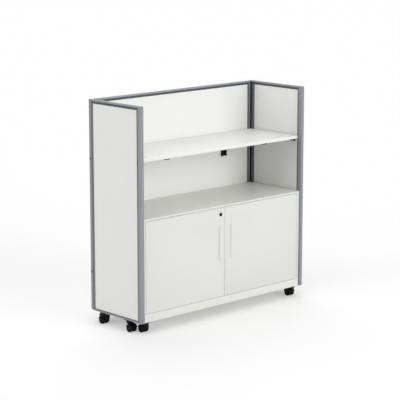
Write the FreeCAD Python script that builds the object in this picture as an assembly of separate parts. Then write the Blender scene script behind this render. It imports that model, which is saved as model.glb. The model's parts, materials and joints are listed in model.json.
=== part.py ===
import FreeCAD, Part
import math
import os

# Mobile office station: a two-door cupboard and an upper shelf, closed on three sides by framed
# screens. The two side screens are wings, hinged at the rear corners, that swing outwards on
# their own casters. Millimetres, +Z up, origin on the floor under the middle, front towards -Y.

V = FreeCAD.Vector

# Whole unit
unit_width = 1200.0
unit_depth = 410.0
unit_height = 1187.0
ground_clearance = 58.0

# Shared fits
running_fit = 0.05
sliding_gap = 0.3
overrun = 2.0
quarter_turn = 90.0
half_turn = 180.0

# Screens: posts, rails, corner blocks and infill
screen_thickness = 20.0
wing_front_post_width = 35.0
wing_rear_post_width = 29.5
back_post_width = 19.5
post_lip = 12.0
post_wall = 2.0
lip_wall = 2.0
groove_depth = 8.0
top_rail_height = 20.0
top_rail_lip = 8.0
bottom_rail_height = 12.0
bottom_rail_lip = 5.0
rail_groove_depth = 6.0
infill_thickness = 9.0
frame_edge_radius = 2.5
top_corner_height = 46.0
bottom_corner_height = 26.0
corner_radius = 4.0
wing_rear_foot_radius = 20.0
spigot_length = 25.0

# Continuous hinges between the back screen and the wings
hinge_gap = 10.0
hinge_leaf = 1.6
hinge_leaf_width = 14.0
hinge_pin_radius = 2.0
hinge_knuckles = 21
hinge_end_inset = 6.0

# Cupboard
wing_clearance = 1.5
cupboard_setback = 10.0
cupboard_top_height = 602.0
cupboard_top_board = 10.0
carcass_board = 15.0
plinth_height = 43.0
back_board = 4.0
inner_shelf_height = 326.0
inner_shelf_setback = 45.0
peg_radius = 3.0
peg_grip = 10.0
peg_reach = 12.0
peg_inset = 50.0

# Doors and their pivots
door_board = 15.0
door_gap = 2.0
door_top_gap = 4.0
door_swing_gap = 0.6
pivot_inset = 20.0
pivot_pin_radius = 3.0
pivot_pin_grip = 20.0
bush_radius = 5.0
bush_depth = 8.0
bush_flange_radius = 7.0
bush_flange = 1.0
pin_end_gap = 0.5

# Flush pulls
pull_length = 194.0
pull_width = 19.0
pull_rim = 2.0
pull_flange = 1.2
pull_depth = 7.0
pull_wall = 1.2
pull_edge_inset = 42.0
pull_drop = 192.0

# Lock in the left door
lock_edge_inset = 29.0
lock_drop = 34.0
lock_face_radius = 10.0
lock_face = 2.0
lock_body_radius = 7.0
lock_tail = 5.5
lock_nut_radius = 10.0
lock_nut = 3.0
lock_plug_radius = 4.5
keyway_width = 1.4
keyway_height = 6.0
keyway_depth = 4.0
cam_thickness = 2.0
cam_width = 12.0
cam_reach = 25.0
strike_plate = 2.0
strike_width = 24.0
strike_drop = 18.0
strike_flange = 14.0
strike_gap = 2.0

# Magnetic catches
catch_length = 40.0
catch_height = 14.0
catch_depth = 15.0
catch_edge_inset = 80.0
catch_plate = 1.5

# Upper shelf, its brackets and the ledges on the wings
upper_shelf_top = 913.0
upper_shelf_board = 17.0
upper_shelf_setback = 26.0
upper_shelf_end_gap = 2.0
bracket_spacing = 720.0
bracket_width = 34.0
bracket_channel = 13.0
bracket_sheet = 2.5
bracket_drop = 118.0
bracket_tip_setback = 42.0
ledge_length = 41.0
ledge_setback = 50.0
ledge_sheet = 2.5
ledge_drop = 17.0
ledge_reach = 23.0

# Bolts that tie the back screen to the cupboard
bolt_radius = 3.0
bolt_head_radius = 6.0
bolt_head = 4.0
cap_nut = 3.0
bolt_spacing_x = 840.0
bolt_inset_z = 110.0

# Casters
caster_plate_size = 46.0
caster_plate = 3.0
caster_strip_length = 72.0
kingpin_radius = 4.0
kingpin_length = 17.0
cabinet_caster_inset_x = 30.5
cabinet_caster_inset_y = 36.0
wing_caster_inset = 107.0
caster_trail = 13.0
wheel_radius = 20.0
wheel_width = 16.0
wheel_edge_radius = 3.0
wheel_gap = 0.6
hub_recess_radius = 12.0
hub_recess = 1.5
axle_radius = 3.0
axle_cap = 4.0
fork_web = 8.0
hood_gap = 1.2
hood_wall = 2.0
hood_skirt_height = 27.0
neck_radius = 12.0
neck_gap = 0.6

# Places that several pieces share
y_front = -unit_depth / 2
y_rear = unit_depth / 2
half_thickness = screen_thickness / 2
x_wing_centre = unit_width / 2 - half_thickness
x_wing_inner = unit_width / 2 - screen_thickness
x_hinge = x_wing_inner - hinge_gap / 2
y_hinge = y_rear - hinge_gap / 2
x_back_end = x_wing_inner - hinge_gap
y_back_front = y_rear - screen_thickness
y_infill_front = y_rear - half_thickness - infill_thickness / 2
y_infill_rear = y_infill_front + infill_thickness
x_infill_inner = x_wing_centre - infill_thickness / 2
z_bottom = ground_clearance

x_cupboard = x_wing_inner - wing_clearance
x_inside = x_cupboard - carcass_board
y_cupboard = y_front + cupboard_setback
y_door_back = y_cupboard + door_board
y_plinth_back = y_cupboard + carcass_board
y_inside_back = y_back_front - back_board
z_floor = z_bottom + carcass_board
z_opening_low = z_bottom + plinth_height
z_opening_high = cupboard_top_height - cupboard_top_board

door_side_gap = math.hypot(pivot_inset, door_board / 2) - pivot_inset + door_swing_gap
x_door_hinge_edge = x_inside - door_side_gap
x_door_free_edge = door_gap / 2
x_pivot = x_door_hinge_edge - pivot_inset
y_pivot = y_cupboard + door_board / 2
z_door_low = z_opening_low + door_gap
z_door_high = z_opening_high - door_top_gap

x_lock = -x_door_free_edge - lock_edge_inset
z_lock = z_door_high - lock_drop
y_lock_tail = y_door_back + lock_tail
y_cam = y_lock_tail + sliding_gap
y_strike = y_cam - strike_gap - strike_plate

z_shelf_low = upper_shelf_top - upper_shelf_board
y_shelf_front = y_front + upper_shelf_setback
z_caster_seat = z_bottom - caster_plate

LEFT = -1
RIGHT = 1
SIDES = {"left": LEFT, "right": RIGHT}
nodes = {}


def add(name, *solids):
    """Keep the solids of one named piece."""
    nodes[name] = list(solids)


def box(x0, x1, y0, y1, z0, z1):
    """A block between two corners given in any order."""
    low = V(min(x0, x1), min(y0, y1), min(z0, z1))
    return Part.makeBox(abs(x1 - x0), abs(y1 - y0), abs(z1 - z0), low)


def rod_x(radius, x0, x1, y, z):
    return Part.makeCylinder(radius, abs(x1 - x0), V(min(x0, x1), y, z), V(1, 0, 0))


def rod_y(radius, y0, y1, x, z):
    return Part.makeCylinder(radius, abs(y1 - y0), V(x, min(y0, y1), z), V(0, 1, 0))


def rod_z(radius, z0, z1, x, y):
    return Part.makeCylinder(radius, abs(z1 - z0), V(x, y, min(z0, z1)), V(0, 0, 1))


def extrude(points, path):
    """A straight prism on a closed outline."""
    face = Part.Face(Part.makePolygon(list(points) + [points[0]]))
    return face.extrude(path)


def edges_at(shape, direction, **place):
    """Straight edges along one axis whose middle has the given coordinates."""
    found = []
    for edge in shape.Edges:
        if not isinstance(edge.Curve, (Part.Line, Part.LineSegment)):
            continue
        along = edge.tangentAt(edge.FirstParameter)
        middle = edge.CenterOfMass
        near = all(abs(getattr(middle, key) - value) < running_fit for key, value in place.items())
        if near and abs(along.dot(direction)) > 1 - running_fit:
            found.append(edge)
    return found


def turned(shape, degrees, centre):
    """A copy turned about a vertical axis."""
    copy = shape.copy()
    copy.rotate(centre, V(0, 0, 1), degrees)
    return copy


def post_outline(width, z0, z1):
    """A post's outer skin: a flat band with rounded outer edges and a lip that falls to the infill."""
    lip_half = infill_thickness / 2 + sliding_gap + lip_wall
    band = width - post_lip
    outline = [
        V(0, -half_thickness, z0), V(band, -half_thickness, z0), V(width, -lip_half, z0),
        V(width, lip_half, z0), V(band, half_thickness, z0), V(0, half_thickness, z0),
    ]
    skin = extrude(outline, V(0, 0, z1 - z0))
    outer = edges_at(skin, V(0, 0, 1), x=0)
    return skin.makeFillet(frame_edge_radius, outer)


def post_core(width, z0, z1, gap):
    """The hollow inside a post, or the spigot that fills it with a gap all round."""
    half = half_thickness - post_wall - gap
    return box(post_wall + gap, width - groove_depth - post_wall - gap, -half, half, z0, z1)


def infill_groove(width, z0, z1):
    half = infill_thickness / 2 + sliding_gap
    return box(width - groove_depth, width + overrun, -half, half, z0, z1)


def make_post(width):
    z0 = z_bottom + bottom_corner_height
    z1 = unit_height - top_corner_height
    post = post_outline(width, z0, z1)
    post = post.cut(post_core(width, z0 - overrun, z1 + overrun, 0))
    return post.cut(infill_groove(width, z0 - overrun, z1 + overrun))


def rail_outline(start, end, z_outer, height, lip, inward):
    """A rail's skin with a lip that falls to the infill; inward is the way from its outer face to it."""
    lip_half = infill_thickness / 2 + sliding_gap + lip_wall
    z_lip = z_outer + inward * (height - lip)
    z_inner = z_outer + inward * height
    outline = [
        V(start, -half_thickness, z_outer), V(start, -half_thickness, z_lip),
        V(start, -lip_half, z_inner), V(start, lip_half, z_inner),
        V(start, half_thickness, z_lip), V(start, half_thickness, z_outer),
    ]
    skin = extrude(outline, V(end - start, 0, 0))
    return skin.makeFillet(frame_edge_radius, edges_at(skin, V(1, 0, 0), z=z_outer))


def make_rail(start, end, z_outer, height, lip, inward):
    rail = rail_outline(start, end, z_outer, height, lip, inward)
    half = infill_thickness / 2 + sliding_gap
    z_inner = z_outer + inward * height
    z_groove = z_inner - inward * rail_groove_depth
    return rail.cut(box(start - overrun, end + overrun, -half, half, z_groove, z_inner + inward * overrun))


def make_corner(width, is_top, radius, rail_inner, lip):
    """A moulded block that carries the post's and the rail's outlines round a corner, with a spigot."""
    if is_top:
        z_end, z_joint, inward = unit_height, unit_height - top_corner_height, -1
    else:
        z_end, z_joint, inward = z_bottom, z_bottom + bottom_corner_height, 1
    upright = post_outline(width, z_end, z_joint)
    level = rail_outline(0, width, z_end, abs(rail_inner - z_end), lip, inward)
    block = box(0, width, -half_thickness, half_thickness, z_end, z_joint)
    crown = block.makeFillet(frame_edge_radius, edges_at(block, V(1, 0, 0), z=z_end))
    side = block.makeFillet(radius, edges_at(block, V(0, 1, 0), x=0, z=z_end))
    plan = block.makeFillet(frame_edge_radius, edges_at(block, V(0, 0, 1), x=0))
    corner = upright.fuse(level).common(crown).common(side).common(plan)
    z_groove = rail_inner - inward * rail_groove_depth
    corner = corner.cut(infill_groove(width, z_groove, z_joint + inward * overrun))
    spigot = post_core(width, z_joint, z_joint + inward * spigot_length, sliding_gap)
    return corner.fuse(spigot).removeSplitter()


def make_screen(prefix, length, post_widths, foot_radii, place):
    """Posts, rails, corner blocks and infill of one screen, made along X and then put in place.

    Widths and radii are given for the near end, at X 0, and then for the far end."""
    middle = V(length / 2, 0, 0)
    top_inner = unit_height - top_rail_height
    low_inner = z_bottom + bottom_rail_height
    posts, corners = [], []
    for width, radius, turn in zip(post_widths, foot_radii, (0, half_turn)):
        post = make_post(width)
        top = make_corner(width, True, corner_radius, top_inner, top_rail_lip)
        foot = make_corner(width, False, radius, low_inner, bottom_rail_lip)
        posts.append(turned(post, turn, middle))
        corners += [turned(top, turn, middle), turned(foot, turn, middle)]
    start, end = post_widths[0], length - post_widths[1]
    rails = [
        make_rail(start, end, unit_height, top_rail_height, top_rail_lip, -1),
        make_rail(start, end, z_bottom, bottom_rail_height, bottom_rail_lip, 1),
    ]
    seat = groove_depth - sliding_gap
    depth = rail_groove_depth - sliding_gap
    half = infill_thickness / 2
    infill = box(start - seat, end + seat, -half, half, low_inner - depth, top_inner + depth)
    add(prefix + "_posts", *[place(post) for post in posts])
    add(prefix + "_rails", *[place(rail) for rail in rails])
    add(prefix + "_corners", *[place(block) for block in corners])
    add(prefix + "_infill", place(infill))


def place_back(shape):
    moved = shape.copy()
    moved.translate(V(-x_back_end, y_rear - half_thickness, 0))
    return moved


def place_wing(side):
    """Turn a screen from X to Y, front end first, and put it at one side."""
    def move(shape):
        moved = turned(shape, quarter_turn, V(0, 0, 0))
        moved.translate(V(side * x_wing_centre, y_front, 0))
        return moved
    return move


def make_hinge_leaf(side, x_face, on_wing):
    """One leaf of a full-height hinge: a strip on its post and every other knuckle of the barrel."""
    inward = 1 if x_face < x_hinge else -1
    z_low = z_bottom + bottom_corner_height
    z_high = unit_height - hinge_end_inset
    pitch = (z_high - z_low) / hinge_knuckles
    barrel = hinge_gap / 2 - sliding_gap
    y_tab = y_hinge - barrel - sliding_gap
    x_strip = x_face + inward * hinge_leaf
    leaf = box(side * x_face, side * x_strip, y_hinge - hinge_leaf_width, y_tab, z_low, z_high)
    bore = rod_z(hinge_pin_radius + running_fit, z_low, z_high, side * x_hinge, y_hinge)
    knuckles = []
    for index in range(1 if on_wing else 0, hinge_knuckles, 2):
        z0 = z_low + index * pitch + sliding_gap / 2
        z1 = z_low + (index + 1) * pitch - sliding_gap / 2
        tab = box(side * x_face, side * x_strip, y_tab, y_hinge, z0, z1)
        knuckles.append(rod_z(barrel, z0, z1, side * x_hinge, y_hinge).fuse(tab))
    return leaf.multiFuse(knuckles).cut(bore).removeSplitter()


def make_hinge_pin(side):
    z_low = z_bottom + bottom_corner_height
    return rod_z(hinge_pin_radius, z_low, unit_height - hinge_end_inset, side * x_hinge, y_hinge)


def make_screens():
    back_widths = (back_post_width, back_post_width)
    back_feet = (corner_radius, corner_radius)
    make_screen("back_screen", 2 * x_back_end, back_widths, back_feet, place_back)
    fixed = [make_hinge_leaf(side, x_back_end, False) for side in SIDES.values()]
    add("wing_hinge_fixed_leaves", *fixed)
    add("wing_hinge_pins", *[make_hinge_pin(side) for side in SIDES.values()])
    for word, side in SIDES.items():
        prefix = word + "_wing"
        wing_widths = (wing_front_post_width, wing_rear_post_width)
        wing_feet = (corner_radius, wing_rear_foot_radius)
        make_screen(prefix, unit_depth, wing_widths, wing_feet, place_wing(side))
        add(prefix + "_hinge_leaf", make_hinge_leaf(side, x_wing_inner, True))
        add(prefix + "_shelf_ledge", make_ledge(side))


def make_ledge(side):
    """An angle on a wing's infill, just under the upper shelf."""
    z_top = z_shelf_low - sliding_gap
    y0 = y_front + ledge_setback
    y1 = y0 + ledge_length
    x_wall = side * x_infill_inner
    upright = box(x_wall, x_wall - side * ledge_sheet, y0, y1, z_top - ledge_drop, z_top)
    arm = box(x_wall, x_wall - side * ledge_reach, y0, y1, z_top - ledge_sheet, z_top)
    return upright.fuse(arm).removeSplitter()


def bolt_places():
    z_low = z_floor + bolt_inset_z
    z_high = z_opening_high - bolt_inset_z
    return [(side * bolt_spacing_x / 2, z) for side in SIDES.values() for z in (z_low, z_high)]


def drill_bolts(shape):
    """Clear the four tie bolts through a board or infill."""
    for x, z in bolt_places():
        shape = shape.cut(rod_y(bolt_radius + sliding_gap, y_inside_back - overrun, y_rear, x, z))
    return shape


def make_bolts():
    bolts = []
    for x, z in bolt_places():
        head = rod_y(bolt_head_radius, y_inside_back - bolt_head, y_inside_back, x, z)
        shank = rod_y(bolt_radius, y_inside_back, y_infill_rear, x, z)
        spacer = rod_y(bolt_head_radius, y_back_front, y_infill_front, x, z)
        nut = rod_y(bolt_head_radius, y_infill_rear, y_infill_rear + cap_nut, x, z)
        bolts.append(head.multiFuse([shank, spacer, nut]).removeSplitter())
    add("screen_bolts", *bolts)


def pivot_places():
    return [(side * x_pivot, z, way) for side in SIDES.values()
            for z, way in ((z_opening_low, -1), (z_opening_high, 1))]


def drill_pivots(shape):
    for x, z, way in pivot_places():
        hole = rod_z(bush_radius + running_fit, z, z + way * (bush_depth + running_fit), x, y_pivot)
        shape = shape.cut(hole)
    return shape


def make_bushes():
    bushes = []
    for x, z, way in pivot_places():
        bush = rod_z(bush_radius, z - way * bush_flange, z + way * bush_depth, x, y_pivot)
        flange = rod_z(bush_flange_radius, z - way * bush_flange, z, x, y_pivot)
        bore = rod_z(pivot_pin_radius + running_fit, z - way * bush_flange, z + way * bush_depth, x, y_pivot)
        bushes.append(bush.fuse(flange).cut(bore))
    add("door_pivot_bushes", *bushes)


def peg_places():
    z = inner_shelf_height - peg_radius - running_fit
    y_near = y_door_back + inner_shelf_setback + peg_inset
    y_far = y_inside_back - peg_inset
    return [(side, y, z) for side in SIDES.values() for y in (y_near, y_far)]


def make_cupboard():
    top = box(-x_cupboard, x_cupboard, y_cupboard, y_back_front, z_opening_high, cupboard_top_height)
    add("cabinet_top", drill_pivots(top))
    add("cabinet_floor", box(-x_cupboard, x_cupboard, y_plinth_back, y_back_front, z_bottom, z_floor))
    plinth = box(-x_cupboard, x_cupboard, y_cupboard, y_plinth_back, z_bottom, z_opening_low)
    add("cabinet_plinth", drill_pivots(plinth))
    for word, side in SIDES.items():
        board = box(side * x_inside, side * x_cupboard, y_cupboard, y_back_front, z_floor, z_opening_high)
        notch = box(side * x_inside, side * x_cupboard, y_cupboard, y_plinth_back, z_floor, z_opening_low)
        board = board.cut(notch)
        x_socket = x_inside + peg_grip + running_fit
        for peg_side, y, z in peg_places():
            if peg_side == side:
                board = board.cut(rod_x(peg_radius + running_fit, side * x_inside, side * x_socket, y, z))
        add(word + "_side", board)
    back = box(-x_inside, x_inside, y_inside_back, y_back_front, z_floor, z_opening_high)
    add("cabinet_back", drill_bolts(back))
    x_shelf = x_inside - sliding_gap
    y_near = y_door_back + inner_shelf_setback
    add("inner_shelf", box(-x_shelf, x_shelf, y_near, y_inside_back - sliding_gap,
                           inner_shelf_height, inner_shelf_height + carcass_board))
    pegs = [rod_x(peg_radius, side * (x_inside - peg_reach), side * (x_inside + peg_grip), y, z)
            for side, y, z in peg_places()]
    add("shelf_pegs", *pegs)


def make_upper_shelf():
    x_end = x_wing_inner - upper_shelf_end_gap
    add("upper_shelf", box(-x_end, x_end, y_shelf_front, y_back_front, z_shelf_low, upper_shelf_top))
    add("shelf_brackets", *[make_bracket(side * bracket_spacing / 2) for side in SIDES.values()])


def make_bracket(x):
    """A folded channel bent to an L: a leg on the back screen and an arm under the shelf."""
    y_tip = y_shelf_front + bracket_tip_setback
    z_foot = z_shelf_low - bracket_drop
    def ell(inset, width):
        y0, y1 = y_tip - overrun * (inset > 0), y_infill_front - inset
        z0, z1 = z_foot - overrun * (inset > 0), z_shelf_low - inset
        y_leg = y_infill_front - bracket_channel - overrun * (inset > 0)
        z_arm = z_shelf_low - bracket_channel - overrun * (inset > 0)
        arm = box(x - width / 2, x + width / 2, y0, y1, z_arm, z1)
        leg = box(x - width / 2, x + width / 2, y_leg, y1, z0, z1)
        return arm.fuse(leg).removeSplitter()
    return ell(0, bracket_width).cut(ell(bracket_sheet, bracket_width - 2 * bracket_sheet))


def pull_centre(side):
    return side * (x_door_free_edge + pull_edge_inset), z_door_high - pull_drop


def make_pull(side):
    """A flush pull: a shallow tray let into the door with a thin rim on its face."""
    x, z = pull_centre(side)
    def slab(shrink, y0, y1):
        half_x = pull_width / 2 - shrink
        half_z = pull_length / 2 - shrink
        return box(x - half_x, x + half_x, y0, y1, z - half_z, z + half_z)
    rim = slab(0, y_cupboard - pull_flange, y_cupboard)
    tray = slab(pull_rim, y_cupboard - pull_flange, y_cupboard + pull_depth)
    hollow = slab(pull_rim + pull_wall, y_cupboard - pull_flange, y_cupboard + pull_depth - pull_wall)
    pocket = slab(pull_rim - sliding_gap, y_cupboard, y_cupboard + pull_depth + sliding_gap)
    return rim.fuse(tray).cut(hollow).removeSplitter(), pocket


def make_door(word, side):
    door = box(side * x_door_free_edge, side * x_door_hinge_edge, y_cupboard, y_door_back,
               z_door_low, z_door_high)
    pull, pocket = make_pull(side)
    door = door.cut(pocket)
    pins = []
    for edge, way, gap in ((z_door_low, -1, door_gap), (z_door_high, 1, door_top_gap)):
        z_end = edge + way * (gap + bush_depth - pin_end_gap)
        z_grip = edge - way * pivot_pin_grip
        pins.append(rod_z(pivot_pin_radius, z_grip, z_end, side * x_pivot, y_pivot))
        z_bore = z_grip - way * running_fit
        door = door.cut(rod_z(pivot_pin_radius + running_fit, z_bore, edge, side * x_pivot, y_pivot))
    if side == LEFT:
        door = door.cut(rod_y(lock_body_radius + running_fit, y_cupboard, y_door_back, x_lock, z_lock))
    x0 = side * (x_door_free_edge + catch_edge_inset)
    plate = box(x0, x0 + side * catch_length, y_door_back, y_door_back + catch_plate,
                z_door_high - catch_height, z_door_high)
    add(word + "_door", door)
    add(word + "_door_pull", pull)
    add(word + "_door_fittings", *pins, plate)


def make_catches():
    y0 = y_door_back + catch_plate + sliding_gap
    catches = []
    for side in SIDES.values():
        x0 = side * (x_door_free_edge + catch_edge_inset)
        catches.append(box(x0, x0 + side * catch_length, y0, y0 + catch_depth,
                           z_opening_high - catch_height, z_opening_high))
    add("door_catches", *catches)


def make_lock():
    """A cam lock: housing and nut stay in the door; plug and cam turn. At rest the cam lies flat."""
    y_face = y_cupboard - lock_face
    face = rod_y(lock_face_radius, y_face, y_cupboard, x_lock, z_lock)
    body = rod_y(lock_body_radius, y_cupboard, y_lock_tail, x_lock, z_lock)
    bore = rod_y(lock_plug_radius + running_fit, y_face, y_lock_tail, x_lock, z_lock)
    housing = face.fuse(body).cut(bore).removeSplitter()
    nut = rod_y(lock_nut_radius, y_door_back, y_door_back + lock_nut, x_lock, z_lock)
    nut = nut.cut(rod_y(lock_body_radius + running_fit, y_door_back, y_door_back + lock_nut, x_lock, z_lock))
    add("lock_housing", housing, nut)
    plug = rod_y(lock_plug_radius, y_face, y_cam, x_lock, z_lock)
    keyway = box(x_lock - keyway_width / 2, x_lock + keyway_width / 2, y_face, y_face + keyway_depth,
                 z_lock - keyway_height / 2, z_lock + keyway_height / 2)
    add("lock_plug", plug.cut(keyway))
    blade = box(x_lock - cam_reach, x_lock, y_cam, y_cam + cam_thickness,
                z_lock - cam_width / 2, z_lock + cam_width / 2)
    boss = rod_y(cam_width / 2, y_cam, y_cam + cam_thickness, x_lock, z_lock)
    add("lock_cam", blade.fuse(boss).removeSplitter())
    x0, x1 = x_lock - strike_width / 2, x_lock + strike_width / 2
    tab = box(x0, x1, y_strike, y_strike + strike_plate, z_opening_high - strike_drop, z_opening_high)
    flange = box(x0, x1, y_strike, y_strike + strike_flange, z_opening_high - strike_plate, z_opening_high)
    add("lock_strike", tab.fuse(flange).removeSplitter())


def caster_places():
    """Name, parent, swivel axis and trailing way of each caster."""
    x_cab = x_cupboard - cabinet_caster_inset_x
    ends = {"front": (y_front + cabinet_caster_inset_y, 1), "rear": (y_rear - cabinet_caster_inset_y, -1)}
    wing_ends = {"front": (y_front + wing_caster_inset, -1), "rear": (y_rear - wing_caster_inset, 1)}
    places = []
    for word, side in SIDES.items():
        for end, (y, way) in ends.items():
            places.append(("cabinet_%s_%s" % (end, word), "cabinet", side * x_cab, y, way))
        for end, (y, way) in wing_ends.items():
            places.append(("%s_wing_%s" % (word, end), word + "_wing", side * x_wing_centre, y, way))
    return places


def make_caster_seat(x, y, size_x, size_y):
    """A flat seat under the unit with the kingpin that a fork turns on."""
    plate = box(x - size_x / 2, x + size_x / 2, y - size_y / 2, y + size_y / 2, z_caster_seat, z_bottom)
    kingpin = rod_z(kingpin_radius, z_caster_seat - kingpin_length, z_bottom, x, y)
    return plate.fuse(kingpin).removeSplitter()


def make_fork(x, y, way):
    """The hooded fork: a swivel neck, an arched hood and a web between the wheels."""
    half_width = fork_web / 2 + wheel_gap + wheel_width
    clear_radius = wheel_radius + hood_gap
    hood_radius = clear_radius + hood_wall
    y_axle = y + caster_trail
    z_neck = z_caster_seat - neck_gap
    hood = rod_x(hood_radius, x - half_width, x + half_width, y_axle, wheel_radius)
    neck = rod_z(neck_radius, hood_skirt_height, z_neck, x, y)
    reach = hood_radius + overrun
    below = box(x - half_width - overrun, x + half_width + overrun, y_axle - reach, y_axle + reach,
                wheel_radius - reach, hood_skirt_height)
    fork = hood.cut(below).fuse(neck)
    for side in SIDES.values():
        x_web = x + side * fork_web / 2
        fork = fork.cut(rod_x(clear_radius, x_web, x_web + side * (wheel_width + wheel_gap + neck_radius),
                              y_axle, wheel_radius))
    web = rod_x(clear_radius, x - fork_web / 2, x + fork_web / 2, y_axle, wheel_radius)
    keel = box(x - fork_web / 2, x + fork_web / 2, y_axle - reach, y_axle + reach,
               wheel_radius - axle_radius - hood_wall, hood_skirt_height + hood_wall)
    fork = fork.fuse(web.common(keel))
    fork = fork.cut(rod_x(axle_radius + running_fit, x - half_width, x + half_width, y_axle, wheel_radius))
    bore_end = z_caster_seat - kingpin_length - sliding_gap
    fork = fork.cut(rod_z(kingpin_radius + running_fit, bore_end, z_neck, x, y)).removeSplitter()
    return fork if way > 0 else turned(fork, half_turn, V(x, y, 0))


def make_wheels(x, y, way):
    """Two wheels with domed treads and dished hubs on one axle."""
    y_axle = y + way * caster_trail
    x_inner = fork_web / 2 + wheel_gap
    x_outer = x_inner + wheel_width
    wheels = []
    for side in SIDES.values():
        wheel = rod_x(wheel_radius, x + side * x_inner, x + side * x_outer, y_axle, wheel_radius)
        wheel = wheel.makeFillet(wheel_edge_radius, [edge for edge in wheel.Edges if edge.Closed])
        dish = rod_x(hub_recess_radius, x + side * (x_outer - hub_recess), x + side * x_outer,
                     y_axle, wheel_radius)
        bore = rod_x(axle_radius + running_fit, x + side * x_inner, x + side * (x_outer - axle_cap),
                     y_axle, wheel_radius)
        wheels.append(wheel.cut(dish).cut(bore))
    x_axle = x_outer - axle_cap - running_fit
    axle = rod_x(axle_radius, x - x_axle, x + x_axle, y_axle, wheel_radius)
    return wheels + [axle]


def make_casters():
    carriers = {"cabinet": [], "left_wing": [], "right_wing": []}
    seat_sizes = {carrier: (screen_thickness, caster_strip_length) for carrier in carriers}
    seat_sizes["cabinet"] = (caster_plate_size, caster_plate_size)
    for name, carrier, x, y, way in caster_places():
        carriers[carrier].append(make_caster_seat(x, y, *seat_sizes[carrier]))
        add(name + "_fork", make_fork(x, y, way))
        add(name + "_wheels", *make_wheels(x, y, way))
    for carrier, plates in carriers.items():
        add(carrier + "_caster_plates", *plates)


def export():
    os.makedirs("parts", exist_ok=True)
    for name, solids in nodes.items():
        shape = solids[0] if len(solids) == 1 else Part.makeCompound(solids)
        shape.exportStep("parts/%s.step" % name)
        state = "ok" if all(s.isValid() and len(s.Solids) == 1 for s in solids) else "CHECK"
        print("%-28s %2d solids %12.0f mm3 %s" % (name, len(solids), shape.Volume, state))


make_screens()
nodes["back_screen_infill"] = [drill_bolts(solid) for solid in nodes["back_screen_infill"]]
make_bolts()
make_cupboard()
make_bushes()
make_upper_shelf()
for word, side in SIDES.items():
    make_door(word, side)
make_lock()
make_catches()
make_casters()
export()
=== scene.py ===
# %% [markdown]
# # A mobile office station with folding wings
# The object is a two-door cupboard with one long shelf above it, closed on three sides by framed
# screens. The side screens are wings: they hang on full-height hinges and roll on casters of their own.
# This lesson dresses the measured solids. It keeps every place and size that they give, and adds the
# finishes, rounded board edges, lip gaskets, screws and fittings that the eye expects.

# %% Load the measured frame
import json
import math

import bmesh
import bpy
from mathutils import Matrix, Vector


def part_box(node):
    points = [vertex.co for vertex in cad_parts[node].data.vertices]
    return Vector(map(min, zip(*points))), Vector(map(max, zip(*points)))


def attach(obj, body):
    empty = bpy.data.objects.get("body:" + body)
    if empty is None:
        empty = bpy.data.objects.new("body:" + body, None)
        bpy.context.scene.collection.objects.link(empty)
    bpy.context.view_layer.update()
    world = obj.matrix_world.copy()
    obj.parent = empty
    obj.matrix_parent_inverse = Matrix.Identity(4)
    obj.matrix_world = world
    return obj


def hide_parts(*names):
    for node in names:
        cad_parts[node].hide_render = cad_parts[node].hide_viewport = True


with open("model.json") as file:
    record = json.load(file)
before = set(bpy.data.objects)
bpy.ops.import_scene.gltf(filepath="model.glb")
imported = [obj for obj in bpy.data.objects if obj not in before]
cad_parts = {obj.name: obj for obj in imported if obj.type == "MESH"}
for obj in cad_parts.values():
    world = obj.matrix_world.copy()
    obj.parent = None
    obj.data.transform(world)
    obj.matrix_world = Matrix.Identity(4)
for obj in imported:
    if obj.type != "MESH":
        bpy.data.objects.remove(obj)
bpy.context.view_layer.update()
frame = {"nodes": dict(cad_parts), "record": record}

MM = 0.001
X, Y, Z = range(3)

# %% [markdown]
# ## Small helpers for colours and nodes
# Colours are given as sRGB hex values, but shaders work in linear light, so one function turns one into the
# other. Node trees are easier to read when a single call adds a node, sets it and links it.

# %% Colour and node helpers
def linear(hex_colour):
    """An sRGB hex colour as the linear RGBA that a shader socket takes."""
    channels = [int(hex_colour[start:start + 2], 16) / 255 for start in (1, 3, 5)]
    bent = [c / 12.92 if c <= 0.04045 else ((c + 0.055) / 1.055) ** 2.4 for c in channels]
    return (*bent, 1.0)


def add_node(tree, kind, inputs=None, links=None, **settings):
    """Add one node, set its properties and socket values, and link its inputs."""
    node = tree.nodes.new(kind)
    for name, value in settings.items():
        setattr(node, name, value)
    for socket, value in (inputs or {}).items():
        node.inputs[socket].default_value = value
    for socket, source in (links or {}).items():
        tree.links.new(source, node.inputs[socket])
    return node


def per_metre(size_mm):
    """The texture scale that repeats a pattern once in the given size."""
    return 1 / (size_mm * MM)


print("white reads as", [round(c, 2) for c in linear("#ffffff")])

# %% [markdown]
# ## A common start for every finish
# Every finish is a Principled shader that reads Object coordinates. All pieces sit at the origin with
# their place in the mesh, so Object coordinates are real metres on the object, and a pattern has the
# same scale on every piece. Two patterns serve most finishes: a slow drift of tone, and a fine grain
# that bends the normal and varies the roughness.

# %% The start of a finish
finishes = {}


def start_finish(name):
    """A new material with a shader and Object coordinates."""
    material = bpy.data.materials.new(name)
    material.use_nodes = True
    tree = material.node_tree
    tree.nodes.clear()
    shader = add_node(tree, "ShaderNodeBsdfPrincipled")
    add_node(tree, "ShaderNodeOutputMaterial", links={"Surface": shader.outputs["BSDF"]})
    place = add_node(tree, "ShaderNodeTexCoord").outputs["Object"]
    return material, tree, shader, place


def blend_tones(tree, shader, tones, share):
    """Let a pattern mix two near tones into the colour."""
    tone = add_node(tree, "ShaderNodeMixRGB", {"Color1": linear(tones[0]), "Color2": linear(tones[1])},
                    {"Fac": share})
    tree.links.new(tone.outputs["Color"], shader.inputs["Base Color"])


print("a finish starts with a shader and Object coordinates")

# %% Two patterns for most finishes
CLOUD_DETAIL = 3.0
GRAIN_DETAIL = 2.0
GRAIN_STRENGTH = 0.6


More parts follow.
